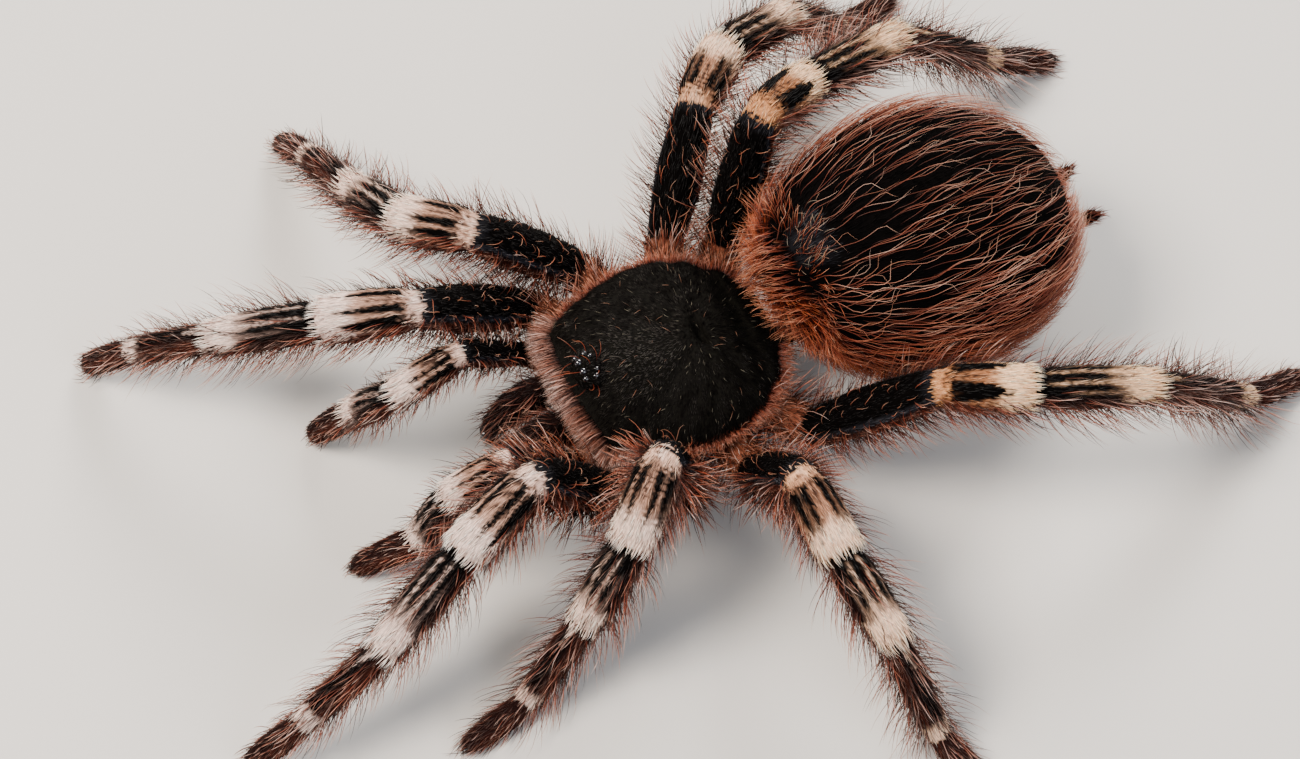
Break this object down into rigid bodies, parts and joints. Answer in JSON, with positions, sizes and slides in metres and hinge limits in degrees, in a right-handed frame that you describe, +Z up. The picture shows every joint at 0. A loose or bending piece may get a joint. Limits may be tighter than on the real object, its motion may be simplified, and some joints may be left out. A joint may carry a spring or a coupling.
{
  "type": "tarantula",
  "caption": "Still, life-size model of a standing tarantula: velvety dark coat, cream knee bands, rust-red bristled abdomen, hairy legs with pads flat on the floor.",
  "frame": {"origin": "middle of the bounding box, on the floor", "axes": "+Z up; -Y the way the head points; +X the animal's left side"},
  "size_m": [0.1172, 0.1378, 0.0317],
  "materials": {
    "shell_pile": "olive-black velvet pile over the head shield, with a short pinkish fringe",
    "black_pile": "matt black velvet pile with longer reddish hairs",
    "rust_fleece": "dense rust-red fleece with long wavy hairs with pale tips",
    "cream_band": "cream and pinkish-white short pile with black patches and a dark centre line",
    "striped_pile": "black pile with two thin cream stripes and a cream far end",
    "dark_pile": "dark brown pile with reddish bristles and a pale ring",
    "black_horn": "glossy black horn: eye lenses, fangs and claws"
  },
  "bodies": {
    "root": {"carapace": "shell_pile", "sternum": "black_pile", "eyes": "black_horn", "chelicera_left": "black_pile", "fang_left": "black_horn", "chelicera_right": "black_pile", "fang_right": "black_horn", "abdomen": "rust_fleece", "spinneret_left": "dark_pile", "spinneret_right": "dark_pile", "palp_left_coxa": "rust_fleece", "palp_left_femur": "black_pile", "palp_left_patella": "cream_band", "palp_left_tibia": "striped_pile", "palp_left_tarsus": "dark_pile", "leg_1_left_coxa": "rust_fleece", "leg_1_left_femur": "black_pile", "leg_1_left_patella": "cream_band", "leg_1_left_tibia": "striped_pile", "leg_1_left_foot": "dark_pile", "leg_2_left_coxa": "rust_fleece", "leg_2_left_femur": "black_pile", "leg_2_left_patella": "cream_band", "leg_2_left_tibia": "striped_pile", "leg_2_left_foot": "dark_pile", "leg_3_left_coxa": "rust_fleece", "leg_3_left_femur": "black_pile", "leg_3_left_patella": "cream_band", "leg_3_left_tibia": "striped_pile", "leg_3_left_foot": "dark_pile", "leg_4_left_coxa": "rust_fleece", "leg_4_left_femur": "black_pile", "leg_4_left_patella": "cream_band", "leg_4_left_tibia": "striped_pile", "leg_4_left_foot": "dark_pile", "palp_right_coxa": "rust_fleece", "palp_right_femur": "black_pile", "palp_right_patella": "cream_band", "palp_right_tibia": "striped_pile", "palp_right_tarsus": "dark_pile", "leg_1_right_coxa": "rust_fleece", "leg_1_right_femur": "black_pile", "leg_1_right_patella": "cream_band", "leg_1_right_tibia": "striped_pile", "leg_1_right_foot": "dark_pile", "leg_2_right_coxa": "rust_fleece", "leg_2_right_femur": "black_pile", "leg_2_right_patella": "cream_band", "leg_2_right_tibia": "striped_pile", "leg_2_right_foot": "dark_pile", "leg_3_right_coxa": "rust_fleece", "leg_3_right_femur": "black_pile", "leg_3_right_patella": "cream_band", "leg_3_right_tibia": "striped_pile", "leg_3_right_foot": "dark_pile", "leg_4_right_coxa": "rust_fleece", "leg_4_right_femur": "black_pile", "leg_4_right_patella": "cream_band", "leg_4_right_tibia": "striped_pile", "leg_4_right_foot": "dark_pile"}
  },
  "joints": []
}
